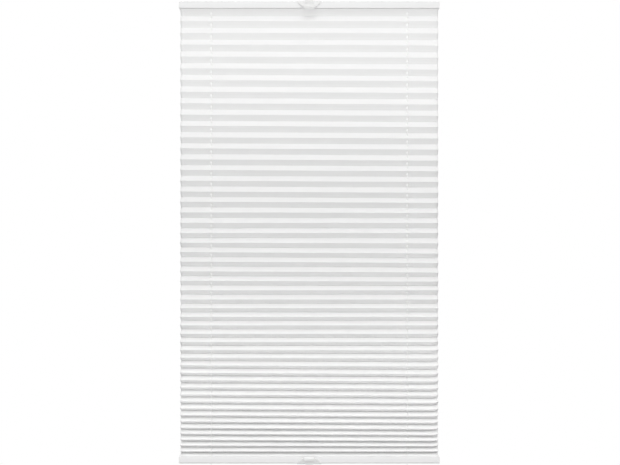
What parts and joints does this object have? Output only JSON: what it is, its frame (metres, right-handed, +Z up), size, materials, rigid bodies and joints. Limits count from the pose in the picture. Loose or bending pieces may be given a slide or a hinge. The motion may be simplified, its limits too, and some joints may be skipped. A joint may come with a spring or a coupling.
{
  "type": "pleated blind",
  "caption": "White pleated window blind held under tension, with a movable rail and finger handle at its top and bottom that slide along tension cords.",
  "frame": {"origin": "middle of the upper fixing plane, halfway between the screw holes of the two upper tension shoes", "axes": "+X along the rails to the right as seen from the room, +Y away from the room towards the glass, +Z up"},
  "size_m": [0.732, 0.0355, 1.352],
  "materials": {
    "cloth": "matte white polyester cloth, permanently pleated",
    "cord": "braided white polyester",
    "rail": "white powder coat",
    "moulding": "satin white moulding",
    "inner_plastic": "plain natural plastic",
    "ferrule": "crimped sleeve",
    "spring": "bright spring wire"
  },
  "bodies": {
    "fixings": {"top_left_shoe": "moulding", "top_right_shoe": "moulding", "bottom_left_shoe": "moulding", "bottom_right_shoe": "moulding", "top_left_ferrule": "ferrule", "top_right_ferrule": "ferrule", "bottom_left_ferrule": "ferrule", "bottom_right_ferrule": "ferrule", "left_spring": "spring", "right_spring": "spring", "left_cord": "cord", "right_cord": "cord", "pleated_fabric": "cloth"},
    "upper_rail": {"top_rail": "rail", "top_left_cap": "moulding", "top_right_cap": "moulding", "top_fabric_strip": "inner_plastic", "top_left_guide": "inner_plastic", "top_right_guide": "inner_plastic", "top_crossing_cords": "cord", "top_handle": "moulding"},
    "lower_rail": {"bottom_rail": "rail", "bottom_left_cap": "moulding", "bottom_right_cap": "moulding", "bottom_fabric_strip": "inner_plastic", "bottom_left_guide": "inner_plastic", "bottom_right_guide": "inner_plastic", "bottom_crossing_cords": "cord", "bottom_handle": "moulding"}
  },
  "joints": [
    {"name": "upper_rail_slide", "type": "slide", "parent": "fixings", "child": "upper_rail", "axis": [0, 0, -1], "range_m": [0, 0.6], "deforming": ["pleated_fabric"]},
    {"name": "lower_rail_slide", "type": "slide", "parent": "fixings", "child": "lower_rail", "axis": [0, 0, 1], "range_m": [0, 0.6], "deforming": ["pleated_fabric"]}
  ]
}
